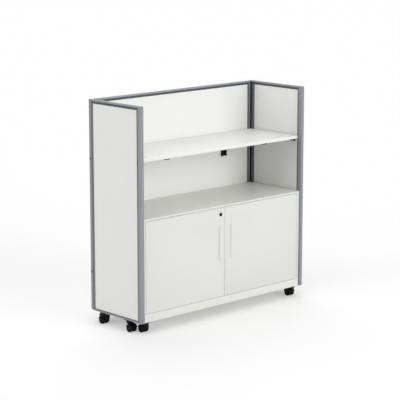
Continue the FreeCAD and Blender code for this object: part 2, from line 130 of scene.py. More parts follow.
def drift_of_tone(tree, shader, place, tones, size_mm):
    """Let the colour wander slowly between two near tones."""
    cloud = add_node(tree, "ShaderNodeTexNoise", {"Scale": per_metre(size_mm), "Detail": CLOUD_DETAIL},
                     {"Vector": place})
    blend_tones(tree, shader, tones, cloud.outputs["Fac"])


def fine_grain(tree, shader, place, size_mm, height_mm, roughness):
    """A fine raised grain, with the roughness varying between two values over it."""
    grain = add_node(tree, "ShaderNodeTexNoise", {"Scale": per_metre(size_mm), "Detail": GRAIN_DETAIL},
                     {"Vector": place})
    bump = add_node(tree, "ShaderNodeBump", {"Strength": GRAIN_STRENGTH, "Distance": height_mm * MM},
                    {"Height": grain.outputs["Fac"]})
    tree.links.new(bump.outputs["Normal"], shader.inputs["Normal"])
    gloss = add_node(tree, "ShaderNodeMapRange", {"To Min": roughness[0], "To Max": roughness[1]},
                     {"Value": grain.outputs["Fac"]})
    tree.links.new(gloss.outputs["Result"], shader.inputs["Roughness"])


print("a 3 mm grain repeats", round(per_metre(3)), "times in a metre")

# %% [markdown]
# ## White boards
# The cupboard is melamine-faced chipboard. Resin paper is pressed against a finely pebbled steel plate, so
# the face is satin, with a grain of about half a millimetre. That is too fine for this picture, so it is
# drawn at 3 mm. The one white board takes three tones that paint light and shade: the faces of the shelf and
# the top are painted lighter, the doors and carcass are painted a shade greyer, and the plinth lies between
# them. The shelves' edges carry a smooth, glossier ABS band. The screens hold a laminate with a slightly
# coarser, paper-like face, and the cupboard's back is thin hardboard.

# %% Finishes of boards
BOARD_DRIFT_MM = 260
RESIN_IOR = 1.5


def pressed_board(name, tones, grain_mm, height_mm, roughness):
    """White faced board: nearly even in tone, with a pressed satin grain."""
    material, tree, shader, place = start_finish(name)
    drift_of_tone(tree, shader, place, tones, BOARD_DRIFT_MM)
    fine_grain(tree, shader, place, grain_mm, height_mm, roughness)
    shader.inputs["IOR"].default_value = RESIN_IOR
    finishes[name] = material


# Two tones, width and height of the grain in mm, and the roughness it varies between
BOARD_FINISHES = {
    # The first three are one board: painted light on the tops, painted shade on doors and carcass, the plinth
    # between
    "melamine_white_painted_light": (("#f3f3f0", "#efefeb"), 3, 0.06, (0.40, 0.50)),
    "melamine_white_painted_shade": (("#e2e3de", "#dedfda"), 3, 0.06, (0.40, 0.50)),
    "melamine_white_painted_plinth_light": (("#e9eae5", "#e5e6e1"), 3, 0.06, (0.40, 0.50)),
    "abs_edge_band_white": (("#f0f0ed", "#ececea"), 6, 0.02, (0.28, 0.34)),
    "laminate_screen_white": (("#ecece9", "#e8e8e5"), 4, 0.09, (0.45, 0.56)),
    "hardboard_faced_white": (("#e2e2de", "#dcdcd7"), 5, 0.12, (0.50, 0.62)),
}
for name, look in BOARD_FINISHES.items():
    pressed_board(name, *look)
print("boards:", sorted(finishes))

# %% [markdown]
# ## Grey frame
# Posts and rails are aluminium extrusions with a grey powder coat. The coat flows into a faint orange
# peel about 2 mm across, and the die leaves long, very shallow lines along the bar. So the finish takes
# the bar's direction, and stretches its lines that way. The pigment hides most of the metal, so only a
# quarter of the shader is metallic.

# %% Finish of the extrusions
DIE_LINE_MM = 1.6
DIE_RUN_MM = 600
COAT_METALLIC = 0.25
ORANGE_PEEL = {"size_mm": 2.2, "height_mm": 0.05, "roughness": (0.34, 0.46)}
FRAME_TONES = ("#92949c", "#8a8c94")


def powder_coated_bar(name, along):
    """Grey powder coat on an extrusion whose die lines run along one axis."""
    material, tree, shader, place = start_finish(name)
    stretch = [per_metre(DIE_LINE_MM)] * 3
    stretch[along] = per_metre(DIE_RUN_MM)
    lines_place = add_node(tree, "ShaderNodeMapping", {"Scale": stretch}, {"Vector": place})
    lines = add_node(tree, "ShaderNodeTexNoise", {"Scale": 1.0, "Detail": GRAIN_DETAIL},
                     {"Vector": lines_place.outputs["Vector"]})
    blend_tones(tree, shader, FRAME_TONES, lines.outputs["Fac"])
    fine_grain(tree, shader, place, **ORANGE_PEEL)
    shader.inputs["Metallic"].default_value = COAT_METALLIC
    finishes[name] = material


for axis, word in enumerate("xyz"):
    powder_coated_bar("powder_coated_aluminium_" + word, axis)
print("extrusions:", sorted(name for name in finishes if "aluminium" in name))

# %% [markdown]
# ## Moulded plastics
# Corner blocks, pulls, covers and casters are moulded. Spark erosion leaves a fine, even grain in the tool,
# and the plastic takes it over, so a moulded face scatters light softly. The two dark greys of the lip strips
# are painted shade and painted shadow, with the same make-up. Nylon and the soft wheel are black with a weak
# shine. Each finish has the same make-up, so they share a function and a list.

# %% Finishes of mouldings
MOULD_DRIFT_MM = 40
PLASTIC_IOR = 1.49
FULL_SHINE = 0.5


def moulded_plastic(name, tones, grain_mm, height_mm, roughness, shine):
    """Moulded plastic with the spark-eroded grain of its tool."""
    material, tree, shader, place = start_finish(name)
    drift_of_tone(tree, shader, place, tones, MOULD_DRIFT_MM)
    fine_grain(tree, shader, place, grain_mm, height_mm, roughness)
    shader.inputs["IOR"].default_value = PLASTIC_IOR
    shader.inputs["Specular IOR Level"].default_value = shine
    finishes[name] = material


# Two tones, width and height of the grain in mm, the roughness it varies between, and the shine
PLASTICS = {
    "moulded_abs_grey": (("#8f9199", "#888a92"), 1.5, 0.05, (0.42, 0.52), FULL_SHINE),
    "moulded_abs_pale": (("#e3e3e1", "#dddddb"), 2.0, 0.03, (0.34, 0.42), FULL_SHINE),
    # Painted shade for the lip strips, and a darker painted shadow for those under the top rails
    "lip_strip_painted_shade": (("#6a6c71", "#626469"), 1.2, 0.04, (0.50, 0.62), FULL_SHINE),
    "lip_strip_painted_shadow": (("#45474b", "#3f4145"), 1.2, 0.04, (0.50, 0.62), FULL_SHINE),
    "bolt_cover_grey": (("#55575b", "#4d4f53"), 1.2, 0.05, (0.50, 0.62), FULL_SHINE),
    "catch_plastic_white": (("#dededb", "#d8d8d5"), 1.6, 0.04, (0.40, 0.50), FULL_SHINE),
    "acetal_natural": (("#d8d7d0", "#d1d0c9"), 1.6, 0.03, (0.36, 0.46), FULL_SHINE),
    "moulded_nylon_black": (("#060607", "#030304"), 1.1, 0.04, (0.36, 0.46), 0.13),
    "soft_tread_black": (("#080809", "#050505"), 1.6, 0.08, (0.52, 0.66), 0.1),
}
for name, look in PLASTICS.items():
    moulded_plastic(name, *look)
print("plastics:", len(PLASTICS))

# %% [markdown]
# ## Dark and bright steel
# Brackets, hinges and caster plates are steel with a black powder coat, and the lock is plated black.
# Both are satin and nearly even. Screws, pins and pegs are zinc plated: a bright metal whose small
# crystals show as flecks. Real flecks are finer, so they are drawn at 1.5 mm to show at all.

# %% Finishes of steel
STEEL_DRIFT_MM = 30
COAT_GRAIN = {"size_mm": 1.4, "height_mm": 0.05}
FLECK_MM = 1.5
PLATING_GRAIN = {"size_mm": 0.9, "height_mm": 0.02}


def coated_steel(name, tones, roughness, shine):
    """Satin coat over steel, with a fine even texture."""
    material, tree, shader, place = start_finish(name)
    drift_of_tone(tree, shader, place, tones, STEEL_DRIFT_MM)
    fine_grain(tree, shader, place, roughness=roughness, **COAT_GRAIN)
    shader.inputs["Specular IOR Level"].default_value = shine
    finishes[name] = material


def plated_steel(name, tones, roughness):
    """Zinc-plated steel: a bright metal with small crystal flecks."""
    material, tree, shader, place = start_finish(name)
    flecks = add_node(tree, "ShaderNodeTexVoronoi", {"Scale": per_metre(FLECK_MM)}, {"Vector": place})
    blend_tones(tree, shader, tones, flecks.outputs["Distance"])
    fine_grain(tree, shader, place, roughness=roughness, **PLATING_GRAIN)
    shader.inputs["Metallic"].default_value = 1.0
    finishes[name] = material


coated_steel("powder_coated_steel_black", ("#0f0f10", "#0a0a0b"), roughness=(0.38, 0.50), shine=0.25)
coated_steel("black_plated_lock", ("#060606", "#030303"), roughness=(0.30, 0.40), shine=0.15)
plated_steel("zinc_plated_steel", ("#c2c3c1", "#a9aaa9"), roughness=(0.26, 0.38))
print("finishes in all:", len(finishes))

# %% [markdown]
# ## Dress the solids
# Many of the measured solids already have their real shape. Those stay, and only get a finish: the
# name of the node says what it is made of. Rails lie along X on the back screen and along Y on a wing.

# %% Finish of each node
FINISH_BY_ENDING = {
    "_posts": "powder_coated_aluminium_z", "_corners": "moulded_abs_grey",
    "_infill": "laminate_screen_white", "_hinge_leaf": "powder_coated_steel_black",
    "_fixed_leaves": "powder_coated_steel_black", "_shelf_ledge": "powder_coated_steel_black",
    "_brackets": "powder_coated_steel_black", "_caster_plates": "powder_coated_steel_black",
    "_fork": "moulded_nylon_black", "_wheels": "soft_tread_black", "_bolts": "zinc_plated_steel",
    "_pins": "zinc_plated_steel", "_pegs": "zinc_plated_steel", "_strike": "zinc_plated_steel",
    "_fittings": "zinc_plated_steel", "lock_cam": "zinc_plated_steel", "lock_housing": "black_plated_lock",
    "lock_plug": "black_plated_lock", "_catches": "catch_plastic_white", "_bushes": "acetal_natural",
    "_pull": "moulded_abs_pale", "cabinet_back": "hardboard_faced_white",
    "back_screen_rails": "powder_coated_aluminium_x", "wing_rails": "powder_coated_aluminium_y",
}


def finish_of(node):
    """The finish whose ending fits the node's name, or faced board for the rest."""
    for ending, finish in FINISH_BY_ENDING.items():
        if node.endswith(ending):
            return finish
    return "melamine_white_painted_light"


for node, solid in frame["nodes"].items():
    solid.data.materials.clear()
    solid.data.materials.append(finishes[finish_of(node)])
print("dressed", len(frame["nodes"]), "nodes")

# %% [markdown]
# ## Put a finished piece in place
# Each new piece is a plain mesh in the frame's own metres. One function gives it an object at the
# origin and ties it to the body that carries it. Another closes a hand-made mesh: it turns the faces
# outwards and shades them smoothly, except at real edges.

# %% Pieces on bodies
body_of_node = {node: body for body, members in frame["record"]["behaviour"]["bodies"].items()
                for node in members}


def plain_mesh(source):
    """The evaluated mesh of an object, which is then removed with its modifiers."""
    bpy.context.view_layer.update()
    view = bpy.context.evaluated_depsgraph_get()
    mesh = bpy.data.meshes.new_from_object(source.evaluated_get(view))
    bpy.data.objects.remove(source)
    return mesh


def loose_object(name, mesh):
    """An object at the origin, linked to the scene."""
    thing = bpy.data.objects.new(name, mesh)
    bpy.context.scene.collection.objects.link(thing)
    return thing


def seat(name, mesh, body, finish=None, nodes=()):
    """Make a finished piece from a mesh: it rides on a body and may stand for solids."""
    if finish:
        mesh.materials.clear()
        mesh.materials.append(finishes[finish])
    mesh.name = name
    piece = loose_object(name, mesh)
    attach(piece, body)
    if nodes:
        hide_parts(*nodes)


# %% Closed meshes and middles
def closed_mesh(name, shape, sharp_degrees=40):
    """Turn a bmesh into a mesh with outward faces, smooth except at real edges."""
    bmesh.ops.recalc_face_normals(shape, faces=shape.faces)
    mesh = bpy.data.meshes.new(name)
    shape.to_mesh(mesh)
    shape.free()
    mesh.shade_smooth()
    mesh.set_sharp_from_angle(angle=math.radians(sharp_degrees))
    return mesh


def middle_of(node):
    """The middle of a solid's box."""
    low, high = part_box(node)
    return (low + high) / 2


print("the upper shelf's middle is", round(middle_of("upper_shelf")[Z] / MM), "mm above the floor")

# %% [markdown]
# ## Rounded edges
# Nothing that is made has a perfectly sharp edge, and the thin line of light on a rounded one is what
# makes it look solid. A merged copy of a solid, with its flat faces joined up again, takes a Bevel.

# %% Rounded copies of solids
MERGE_DISTANCE = 0.002 * MM
FLAT_ANGLE = math.radians(1)
EDGE_ANGLE = math.radians(50)
EDGE_STEPS = 2


def eased_copy(node, radius):
    """A merged copy of a node's solid with its edges rounded."""
    shape = bmesh.new()
    shape.from_mesh(frame["nodes"][node].data)
    bmesh.ops.remove_doubles(shape, verts=shape.verts, dist=MERGE_DISTANCE)
    bmesh.ops.dissolve_limit(shape, angle_limit=FLAT_ANGLE, verts=shape.verts, edges=shape.edges)
    rough = bpy.data.meshes.new(node + "_eased")
    shape.to_mesh(rough)
    shape.free()
    rough.shade_smooth()
    eased = loose_object(node + "_eased", rough)
    bevel = eased.modifiers.new("eased edges", "BEVEL")
    bevel.width = radius
    bevel.segments = EDGE_STEPS
    bevel.limit_method = "ANGLE"
    bevel.angle_limit = EDGE_ANGLE
    bevel.harden_normals = True
    return plain_mesh(eased)


print("edges above", round(math.degrees(EDGE_ANGLE)), "degrees are rounded")

# %% [markdown]
# ## Boards with banded edges
# A board's edge band is trimmed to a radius of about 1 mm. The band is another material than the face, so
# each board has two finishes. Faces that look along the board's thin axis take the first, and all others, the
# rounded edges among them, take the second. On the top board the second is the doors' painted shade, and on
# the carcass and the plinth both are the same painted tone.

# %% Boards
BOARD_EDGE = 0.9 * MM
LOOKS_ALONG = 0.9
# The tops' faces take the painted light; doors, carcass and the top's edges take the painted shade
SHELF_BOARD = ("melamine_white_painted_light", "abs_edge_band_white")
TOP_BOARD = ("melamine_white_painted_light", "melamine_white_painted_shade")
CARCASS_BOARD = ("melamine_white_painted_shade", "melamine_white_painted_shade")
PLINTH_BOARD = ("melamine_white_painted_plinth_light", "melamine_white_painted_plinth_light")
BOARDS = {"cabinet_top": (Z, TOP_BOARD), "upper_shelf": (Z, SHELF_BOARD), "inner_shelf": (Z, SHELF_BOARD),
          "cabinet_floor": (Z, CARCASS_BOARD), "cabinet_plinth": (Y, PLINTH_BOARD),
          "left_side": (X, CARCASS_BOARD), "right_side": (X, CARCASS_BOARD),
          "left_door": (Y, CARCASS_BOARD), "right_door": (Y, CARCASS_BOARD)}
for node, (thin_axis, board_finishes) in BOARDS.items():
    board = eased_copy(node, BOARD_EDGE)
    board.materials.clear()
    for finish in board_finishes:
        board.materials.append(finishes[finish])
    for face in board.polygons:
        face.material_index = 0 if abs(face.normal[thin_axis]) > LOOKS_ALONG else 1
    seat(node + "_board", board, body_of_node[node], nodes=[node])
print("banded boards:", len(BOARDS))

# %% [markdown]
# ## Sheet metal, bolts and catches
# Folded brackets, ledges and plates are tumbled after cutting, so their edges are broken by about half a
# millimetre. Bolt heads are a little rounder, and moulded catches rounder still. The same copy with a
# smaller or larger radius serves them all.

# %% Rounded fittings
EASED_MM = {"shelf_brackets": (0.6, "black_steel"), "left_wing_shelf_ledge": (0.6, "black_steel"),
            "right_wing_shelf_ledge": (0.6, "black_steel"), "cabinet_caster_plates": (0.6, "black_steel"),
            "left_wing_caster_plates": (0.5, "black_steel"), "right_wing_caster_plates": (0.5, "black_steel"),
            "screen_bolts": (0.7, "bright_steel"), "door_catches": (1.2, "catch_plastic"),
            "lock_strike": (0.4, "bright_steel"), "lock_cam": (0.4, "bright_steel")}
for node, (radius_mm, slot) in EASED_MM.items():
    seat(node + "_eased", eased_copy(node, radius_mm * MM), body_of_node[node], finish_of(node), [node])
print("eased fittings:", len(EASED_MM))

# %% [markdown]
# ## Painted shade on the lips
# Beside each white infill the frame steps down in a sloping lip, where shade falls, and a thin dark strip
# lies on it as painted shade. From a step away it reads as a second, darker line inside the frame. Each strip
# is a thin prism whose section follows the slope. A list of the section's corners at each end of the strip is
# enough to make it.

# %% Sections of the strips
POST_LIP = 12 * MM
LIP_FALL = 3.2 * MM
STRIP = 0.5 * MM
CREST = 0.6 * STRIP
SUNK = 0.02 * MM
FEATHER_SHARE = 0.06
FLANGE = 4 * MM
FLANGE_SHARE = 0.9


def add_strip(shape, corner_rows):
    """Add a prism between two rows of corners."""
    rows = [[shape.verts.new(corner) for corner in row] for row in corner_rows]
    for index in range(len(rows[0])):
        after = (index + 1) % len(rows[0])
        shape.faces.new((rows[0][index], rows[0][after], rows[1][after], rows[1][index]))
    for row in rows:
        shape.faces.new(row)


def lip_section(band_edge, inner_edge, face, outward):
    """Section of a strip: across the screen, then through it. It starts thin and ends thick."""
    near = band_edge + (inner_edge - band_edge) * FEATHER_SHARE
    fallen = face - outward * LIP_FALL
    return [(band_edge, face - outward * SUNK), (near, face + outward * CREST),
            (inner_edge, fallen + outward * STRIP), (inner_edge, fallen)]


def flanged_section(band_edge, inner_edge, face, outward):
    """The same section with a thin flange of painted shadow over the lower edge of the rail's flat band."""
    away = math.copysign(FLANGE, band_edge - inner_edge)
    sunk = face - outward * SUNK
    crest = face + outward * CREST
    return [(band_edge + away, sunk), (band_edge + away * FLANGE_SHARE, crest), (band_edge, crest),
            *lip_section(band_edge, inner_edge, face, outward)[2:], (band_edge, sunk)]


print("strips are", round(STRIP / MM, 1), "mm thick and fall", round(LIP_FALL / MM, 1), "mm")

# %% [markdown]
# ## Where the strips run
# Level strips lie on the rails and upright ones on the posts, mitred where they meet. The top rail's strip
# has a flange. On a wing, a flat lap of the same painted shade lies on the infill beside the hinge, where the
# corner is shaded.

# %% Strips along rails and posts
TOP_RAIL = 20 * MM
BOTTOM_RAIL = 12 * MM
TOP_LIP = 8 * MM
BOTTOM_LIP = 5 * MM
MITRE_GAP = 0.1 * MM
LAP = 8 * MM
LAP_SHARE = 0.95
LAP_RISE = 1.6 * STRIP


def at(across, a, t, z):
    """A point from its place across and through a screen."""
    return (a, t, z) if across == X else (t, a, z)


def add_level_strip(shape, rails, across, face, outward, z_inner, lip, section_of):
    """A strip along a rail, mitred into the posts' strips; lip is signed, from the infill outwards."""
    section = section_of(z_inner + lip, z_inner, face, outward)
    rows = []
    for inner, way in zip((rails[0][across], rails[1][across]), (1, -1)):
        mitre = inner + way * MITRE_GAP
        rows.append([at(across, mitre - way * POST_LIP * (z - z_inner) / lip, t, z) for z, t in section])
    add_strip(shape, rows)


def add_upright_strips(shape, rails, across, face, outward, z_foot, z_top):
    """Strips along both posts, whose ends follow the mitres."""
    for inner, way in ((rails[0][across], 1), (rails[1][across], -1)):
        section = lip_section(inner - way * POST_LIP, inner, face, outward)
        spread = [way * (inner - a) / POST_LIP for a, _ in section]
        foot = [at(across, a, t, z_foot - BOTTOM_LIP * s) for (a, t), s in zip(section, spread)]
        head = [at(across, a, t, z_top + TOP_LIP * s) for (a, t), s in zip(section, spread)]
        add_strip(shape, [foot, head])


def add_hinge_painted_shade_lap(shape, screen, y_inner, z_foot, z_top):
    """A flat lap of painted shade beside a wing's hinge, on the face of the infill that looks inwards."""
    faces = [corner[X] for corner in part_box(screen + "_infill")]
    inward = 1 if faces[0] < 0 else -1
    x = max(faces) if inward > 0 else min(faces)
    x_top = x + inward * LAP_RISE
    section = [(x, y_inner), (x, y_inner - LAP), (x_top, y_inner - LAP_SHARE * LAP), (x_top, y_inner)]
    add_strip(shape, [[(*corner, z) for corner in section] for z in (z_foot, z_top)])


print("mitres leave", round(MITRE_GAP / MM, 1), "mm between strips")

# %% Painted shade strips of the three screens
def painted_shade_strip_meshes(screen, across):
    """Painted shade strips on both faces of a screen along X or Y: those under the top rail, then the others.
    """
    faces = [corner[Y if across == X else X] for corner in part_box(screen + "_posts")]
    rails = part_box(screen + "_rails")
    z_foot = rails[0][Z] + BOTTOM_RAIL
    z_top = rails[1][Z] - TOP_RAIL
    upper = bmesh.new()
    other = bmesh.new()
    for face, outward in zip(faces, (-1, 1)):
        add_level_strip(upper, rails, across, face, outward, z_top, TOP_LIP, flanged_section)
        add_level_strip(other, rails, across, face, outward, z_foot, -BOTTOM_LIP, lip_section)
        add_upright_strips(other, rails, across, face, outward, z_foot, z_top)
    if across == Y:
        add_hinge_painted_shade_lap(other, screen, rails[1][Y], z_foot, z_top)
    return closed_mesh(screen + "_top_gaskets", upper), closed_mesh(screen + "_gaskets", other)


SCREENS = {"back_screen": (X, "cabinet"), "left_wing": (Y, "left_wing"), "right_wing": (Y, "right_wing")}
for screen, (across, body) in SCREENS.items():
    upper, other = painted_shade_strip_meshes(screen, across)
    # The strips under the top rails are painted shadow; the others are painted shade on the lips
    seat(screen + "_top_gaskets", upper, body, "lip_strip_painted_shadow")
    seat(screen + "_lip_gaskets", other, body, "lip_strip_painted_shade")
print("screens with painted shade strips:", len(SCREENS))

# %% [markdown]
# ## Thick edge bands on the doors
# The top edge of a door is the one that hands and dust meet, so it carries a thick ABS band. The band
# narrows the dark line between door and cupboard top. It is one more strip, with its two long upper
# edges trimmed off.

# %% Bands on top of the doors
DOOR_BAND = 1.7 * MM
BAND_TRIM = 0.6 * MM
for word in ("left", "right"):
    low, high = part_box(word + "_door")
    z_band = high[Z] + DOOR_BAND
    z_trim = z_band - BAND_TRIM
    section = [(low[Y], high[Z]), (high[Y], high[Z]), (high[Y], z_trim), (high[Y] - BAND_TRIM, z_band),
               (low[Y] + BAND_TRIM, z_band), (low[Y], z_trim)]
    shape = bmesh.new()
    add_strip(shape, [[(x, *corner) for corner in section] for x in (low[X], high[X])])
    # The band takes the doors' painted shade
    seat(word + "_door_top_band", closed_mesh(word + "_door_top_band", shape), word + "_door",
         "melamine_white_painted_shade")
print("door bands:", round(DOOR_BAND / MM, 1), "mm thick")

# %% [markdown]
# ## Flush pulls
# A flush pull is a shallow moulded trough let into the door, with a thin rim on the face. Boxes would
# leave hard corners in it. Here a rounded ring of points is repeated at a few insets and depths, from
# the back of the tray, round the rim and down into the trough, and faces bridge each ring to the next.

# %% Rounded rings
def rounded_ring(shape, centre, half_size, radius, depth, steps=4):
    """Points of a rounded upright rectangle that faces the front."""
    ring = []
    for sign_x, sign_z, start in ((1, 1, 0), (-1, 1, 90), (-1, -1, 180), (1, -1, 270)):
        for step in range(steps + 1):
            turn = math.radians(start + 90 * step / steps)
            x = centre[X] + sign_x * (half_size[0] - radius) + radius * math.cos(turn)
            z = centre[Z] + sign_z * (half_size[1] - radius) + radius * math.sin(turn)
            ring.append(shape.verts.new((x, depth, z)))
    return ring


def add_nested_rings(shape, centre, half_size, front, rings_mm, corner, least_corner):
    """Bridge rounded rings, each given by its inset and depth, and close both ends."""
    rings = []
    for inset_mm, depth_mm in rings_mm:
        half = [size - inset_mm * MM for size in half_size]
        radius = max(corner - inset_mm * MM, least_corner)
        rings.append(rounded_ring(shape, centre, half, radius, front + depth_mm * MM))
    for near, far in zip(rings, rings[1:]):
        for index in range(len(near)):
            after = (index + 1) % len(near)
            shape.faces.new((near[index], near[after], far[after], far[index]))
    shape.faces.new(rings[0])
    shape.faces.new(rings[-1])


print("rings are ready")

# %% Pulls
PULL_RINGS_MM = [(2.0, 7.0), (2.0, 0.0), (0.0, 0.0), (0.0, -0.8), (0.4, -1.2), (2.4, -1.2), (3.0, -0.9),
                 (3.4, -0.2), (4.3, 2.0), (5.4, 3.8), (6.8, 5.0), (8.2, 5.6)]
PULL_CORNER = 4 * MM
TROUGH_CORNER = 1 * MM
for word in ("left", "right"):
    low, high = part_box(word + "_door_pull")
    half_size = ((high[X] - low[X]) / 2, (high[Z] - low[Z]) / 2)
    door_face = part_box(word + "_door")[0][Y]
    shape = bmesh.new()
    add_nested_rings(shape, middle_of(word + "_door_pull"), half_size, door_face, PULL_RINGS_MM,
                     PULL_CORNER, TROUGH_CORNER)
    seat(word + "_pull_trough", closed_mesh(word + "_pull", shape), word + "_door",
         "moulded_abs_pale", [word + "_door_pull"])
print("pulls: 2, each", [round(2 * size / MM) for size in half_size], "mm")

# %% [markdown]
# ## The lock's housing
# A cam lock is turned on a lathe, so its mesh is too: a profile of radius and depth is carried round the
# axis. The face has a bevelled rim and a shallow step around the plug, and a nut holds it at the back.

# %% Lathe and lock
SEAM_DISTANCE = 0.001 * MM


def lathe(shape, profile_mm, centre, axis, way=1, steps=48):
    """Carry (radius, along) pairs round an axis through a point; way turns the profile end for end."""
    u, v = ((Y, Z), (Z, X), (X, Y))[axis]
    rings = []
    for radius_mm, along_mm in profile_mm:
        ring = []
        for step in range(steps if radius_mm > 0 else 1):
            turn = 2 * math.pi * step / steps
            point = list(centre)
            point[axis] += way * along_mm * MM
            point[u] += radius_mm * MM * math.cos(turn)
            point[v] += radius_mm * MM * math.sin(turn)
            ring.append(shape.verts.new(point))
        rings.append(ring)
    for near, far in zip(rings, rings[1:]):
        for step in range(steps):
            after = (step + 1) % steps
            corners = [near[step % len(near)], near[after % len(near)],
                       far[after % len(far)], far[step % len(far)]]
            shape.faces.new(list(dict.fromkeys(corners)))
    bmesh.ops.remove_doubles(shape, verts=shape.verts, dist=SEAM_DISTANCE)


LOCK_PROFILE_MM = [(4.6, 22.5), (7.0, 22.5), (7.0, 20.0), (9.6, 20.0), (10.0, 19.6), (10.0, 17.4),
                   (9.6, 17.0), (7.0, 17.0), (7.0, 2.0), (10.0, 2.0), (10.0, 1.0), (9.2, 0.0), (5.8, 0.0),
                   (5.3, 0.6), (4.6, 0.6), (4.6, 22.5)]
lock_middle = middle_of("lock_plug")
lock_centre = (lock_middle[X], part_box("lock_plug")[0][Y], lock_middle[Z])
shape = bmesh.new()
lathe(shape, LOCK_PROFILE_MM, lock_centre, Y)
seat("lock_turned_housing", closed_mesh("lock_turned_housing", shape, sharp_degrees=30), "left_door",
     "black_plated_lock", ["lock_housing"])
print("lock at", [round(c / MM) for c in lock_centre], "mm")

# %% [markdown]
# ## Screws
# Dozens of small screws hold brackets, ledges, caster seats and catches. They are all alike, so Geometry
# Nodes make one head, a low cone with a six-sided socket cut into it, and put a copy on each point. Sizes are
# named inputs. The result is realised and turned into a plain mesh, one for each group of screws on a body.

# %% Trees for repeated pieces
def open_tree(name, sizes):
    """A Geometry Nodes tree with a geometry input, named sizes and a material."""
    tree = bpy.data.node_groups.new(name, "GeometryNodeTree")
    tree.interface.new_socket("Geometry", in_out="INPUT", socket_type="NodeSocketGeometry")
    for size, kind in sizes.items():
        tree.interface.new_socket(size, in_out="INPUT", socket_type=kind)
    tree.interface.new_socket("Finish", in_out="INPUT", socket_type="NodeSocketMaterial")
    tree.interface.new_socket("Geometry", in_out="OUTPUT", socket_type="NodeSocketGeometry")
    return tree, add_node(tree, "NodeGroupInput").outputs


def close_tree(tree, given, instances):
    """Realise the copies, give them their finish and end the tree."""
    real = add_node(tree, "GeometryNodeRealizeInstances", links={"Geometry": instances})
    dressed = add_node(tree, "GeometryNodeSetMaterial", links={"Geometry": real.outputs["Geometry"],
                                                               "Material": given["Finish"]})
    add_node(tree, "NodeGroupOutput", links={"Geometry": dressed.outputs["Geometry"]})


def grow(tree, points, values):
    """Run a tree on loose points and return the plain mesh that it makes."""
    seed_mesh = bpy.data.meshes.new("points")
    seed_mesh.from_pydata(points, [], [])
    holder = loose_object("points", seed_mesh)
    modifier = holder.modifiers.new("grow", "NODES")
    modifier.node_group = tree
    for socket in tree.interface.items_tree:
        if socket.in_out == "INPUT" and socket.name in values:
            modifier[socket.identifier] = values[socket.name]
    return plain_mesh(holder)


print("trees end in Realize Instances and Set Material")

# %% A tree that makes screw heads
HEAD_SIDES = 20
SOCKET_SIDES = 6
HEAD_TAPER = 0.72


def screw_tree():
    """Screw heads on the points of a mesh, all facing one way."""
    number = "NodeSocketFloat"
    tree, given = open_tree("screw_heads", {"Head radius": number, "Head height": number,
                                            "Socket radius": number, "Facing": "NodeSocketVector"})
    rim = add_node(tree, "ShaderNodeMath", {1: HEAD_TAPER}, {0: given["Head radius"]}, operation="MULTIPLY")
    head = add_node(tree, "GeometryNodeMeshCone", {"Vertices": HEAD_SIDES},
                    {"Radius Top": rim.outputs["Value"], "Radius Bottom": given["Head radius"],
                     "Depth": given["Head height"]})
    hexagon = add_node(tree, "GeometryNodeMeshCylinder", {"Vertices": SOCKET_SIDES},
                       {"Radius": given["Socket radius"], "Depth": given["Head height"]})
    lift = add_node(tree, "ShaderNodeCombineXYZ", links={"Z": given["Head height"]})
    raised = add_node(tree, "GeometryNodeTransform", links={"Geometry": hexagon.outputs["Mesh"],
                                                            "Translation": lift.outputs["Vector"]})
    socketed = add_node(tree, "GeometryNodeMeshBoolean", operation="DIFFERENCE",
                        links={"Mesh 1": head.outputs["Mesh"], "Mesh 2": raised.outputs["Geometry"]})
    turn = add_node(tree, "FunctionNodeEulerToRotation", links={"Euler": given["Facing"]})
    copies = add_node(tree, "GeometryNodeInstanceOnPoints",
                      links={"Points": given["Geometry"], "Instance": socketed.outputs["Mesh"],
                             "Rotation": turn.outputs["Rotation"]})
    close_tree(tree, given, copies.outputs["Instances"])
    return tree


screws = screw_tree()
print("screw tree has", len(screws.nodes), "nodes")

# %% A group of screws on a body
QUARTER = math.pi / 2
FACING = {"down": (2 * QUARTER, 0, 0), "front": (QUARTER, 0, 0),
          "left": (0, -QUARTER, 0), "right": (0, QUARTER, 0)}
HEAD_HEIGHT_SHARE = 0.55
SOCKET_SHARE = 0.45
BLACK_SCREW = ("black_steel", "powder_coated_steel_black")
BRIGHT_SCREW = ("bright_steel", "zinc_plated_steel")


def set_screws(name, body, kind, points, facing, radius):
    """One mesh of screw heads on a body; kind gives their finish, and the slot that it names is not used."""
    slot, finish = kind
    values = {"Head radius": radius, "Head height": radius * HEAD_HEIGHT_SHARE,
              "Socket radius": radius * SOCKET_SHARE, "Facing": FACING[facing], "Finish": finishes[finish]}
    seat(name, grow(screws, points, values), body)
    print(name, len(points))


print("screws can face", ", ".join(FACING))

# %% [markdown]
# ## Screws of the shelf
# Two screws fix each bracket's leg to the back screen, and three hold the shelf down on its arm. Two more
# sit in each wing's ledge. A head looks along Z in the tree, so each group names the way that points it
# out of its sheet.

# %% Screws in the brackets
SHEET = 2.5 * MM
BRACKET_HALF_WIDTH = 17 * MM
BRACKET_SCREW = 4 * MM
LEG_SCREW_HEIGHTS = (18 * MM, 78 * MM)
ARM_SCREW_PLACES = (30 * MM, 150 * MM, 270 * MM)
bracket_low, bracket_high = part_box("shelf_brackets")
bracket_places = [bracket_low[X] + BRACKET_HALF_WIDTH, bracket_high[X] - BRACKET_HALF_WIDTH]
leg_points = [(x, bracket_high[Y] - SHEET, bracket_low[Z] + up)
              for x in bracket_places for up in LEG_SCREW_HEIGHTS]
arm_points = [(x, bracket_low[Y] + along, bracket_high[Z] - SHEET)
              for x in bracket_places for along in ARM_SCREW_PLACES]
set_screws("bracket_leg_screws", "cabinet", BLACK_SCREW, leg_points, "front", BRACKET_SCREW)
set_screws("bracket_arm_screws", "cabinet", BLACK_SCREW, arm_points, "down", BRACKET_SCREW)

